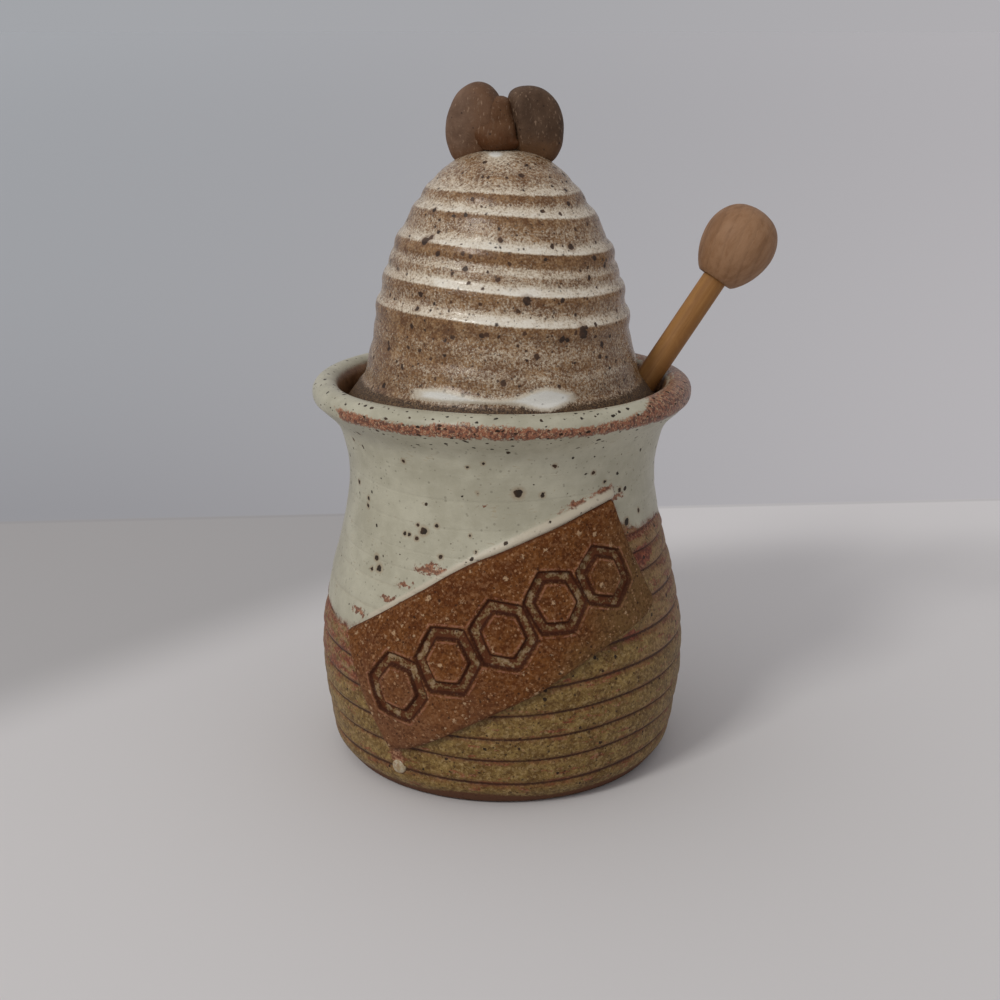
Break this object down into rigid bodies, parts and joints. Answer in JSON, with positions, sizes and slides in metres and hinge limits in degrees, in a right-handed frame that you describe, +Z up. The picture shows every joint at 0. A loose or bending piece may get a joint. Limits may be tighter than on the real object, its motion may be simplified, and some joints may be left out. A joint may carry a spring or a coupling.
{
  "type": "honey pot",
  "caption": "Stoneware honey pot with a loose beehive lid seated inside the rim, a bee knob, an applied clay label and a wooden dipper leaning in a notch of the lid.",
  "frame": {"origin": "centre of the pot's foot, on the surface it stands on", "axes": "+Z up; -Y is the front, with the label; the dipper leans out towards +X"},
  "size_m": [0.1183, 0.0983, 0.1729],
  "materials": {
    "pot_glaze": "satin glaze, pale green-white over iron-bearing stoneware",
    "label_clay": "bare toasted clay with pale grog",
    "lid_glaze": "glossy, speckled brown with white bands on the ridges",
    "knob_clay": "bare grey-brown clay",
    "dowel_wood": "plain hardwood dowel",
    "ball_wood": "turned hardwood, unvarnished",
    "head_wood": "turned hardwood, unvarnished"
  },
  "bodies": {
    "pot": {"pot_body": "pot_glaze", "label_plaque": "label_clay"},
    "lid": {"lid_shell": "lid_glaze", "knob_body": "knob_clay", "knob_wing_left": "knob_clay", "knob_wing_right": "knob_clay"},
    "dipper": {"dipper_shaft": "dowel_wood", "dipper_ball": "ball_wood", "dipper_head": "head_wood"}
  },
  "joints": [
    {"name": "lid_lift", "type": "slide", "parent": "pot", "child": "lid", "axis": [0, 0, 1], "range_m": [0, 0.15]},
    {"name": "dipper_draw", "type": "slide", "parent": "pot", "child": "dipper", "axis": [0.551, 0.0994, 0.8286], "range_m": [0, 0.055]}
  ]
}
